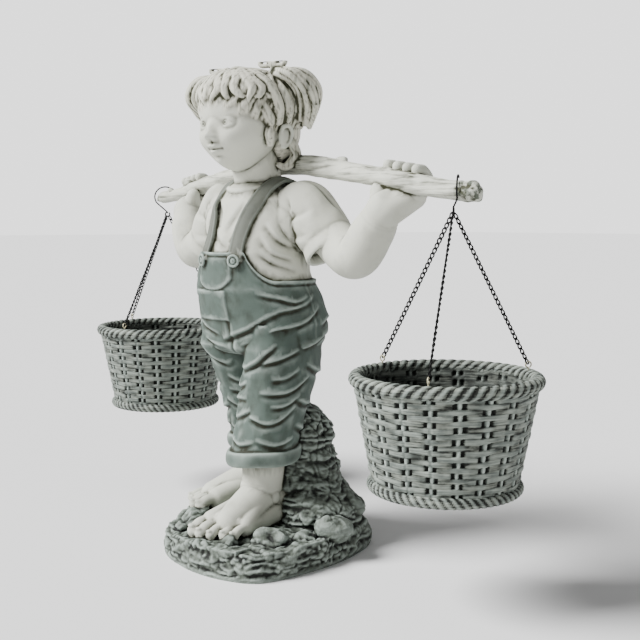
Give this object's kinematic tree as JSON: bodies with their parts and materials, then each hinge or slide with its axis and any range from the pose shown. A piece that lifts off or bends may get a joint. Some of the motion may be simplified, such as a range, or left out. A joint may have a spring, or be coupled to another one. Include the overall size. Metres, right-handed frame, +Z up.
{
  "type": "garden figurine",
  "caption": "Standing girl garden figurine on a rock, carrying a pole across the shoulders with a woven hanging basket on chains at each end.",
  "frame": {"origin": "on the underside of the rock base, under the middle of the girl, at ground height", "axes": "+Z up, +X along the pole towards the girl's left hand, -Y the way the girl faces, give or take a small turn"},
  "size_m": [0.8196, 0.269, 0.6008],
  "materials": {
    "cast_stone": "matt painted resin, pale with grey-green wash",
    "cast_basket": "matt painted resin, grey-green with pale highlights",
    "black_metal": "black coated wire",
    "pale_brass": "dull"
  },
  "bodies": {
    "root": {"girl_with_pole_and_rock": "cast_stone", "left_basket": "cast_basket", "right_basket": "cast_basket", "left_hook": "black_metal", "right_hook": "black_metal", "left_chain_1": "black_metal", "left_chain_2": "black_metal", "left_chain_3": "black_metal", "right_chain_1": "black_metal", "right_chain_2": "black_metal", "right_chain_3": "black_metal", "left_eyelet_1": "pale_brass", "left_eyelet_2": "pale_brass", "left_eyelet_3": "pale_brass", "right_eyelet_1": "pale_brass", "right_eyelet_2": "pale_brass", "right_eyelet_3": "pale_brass"}
  },
  "joints": []
}
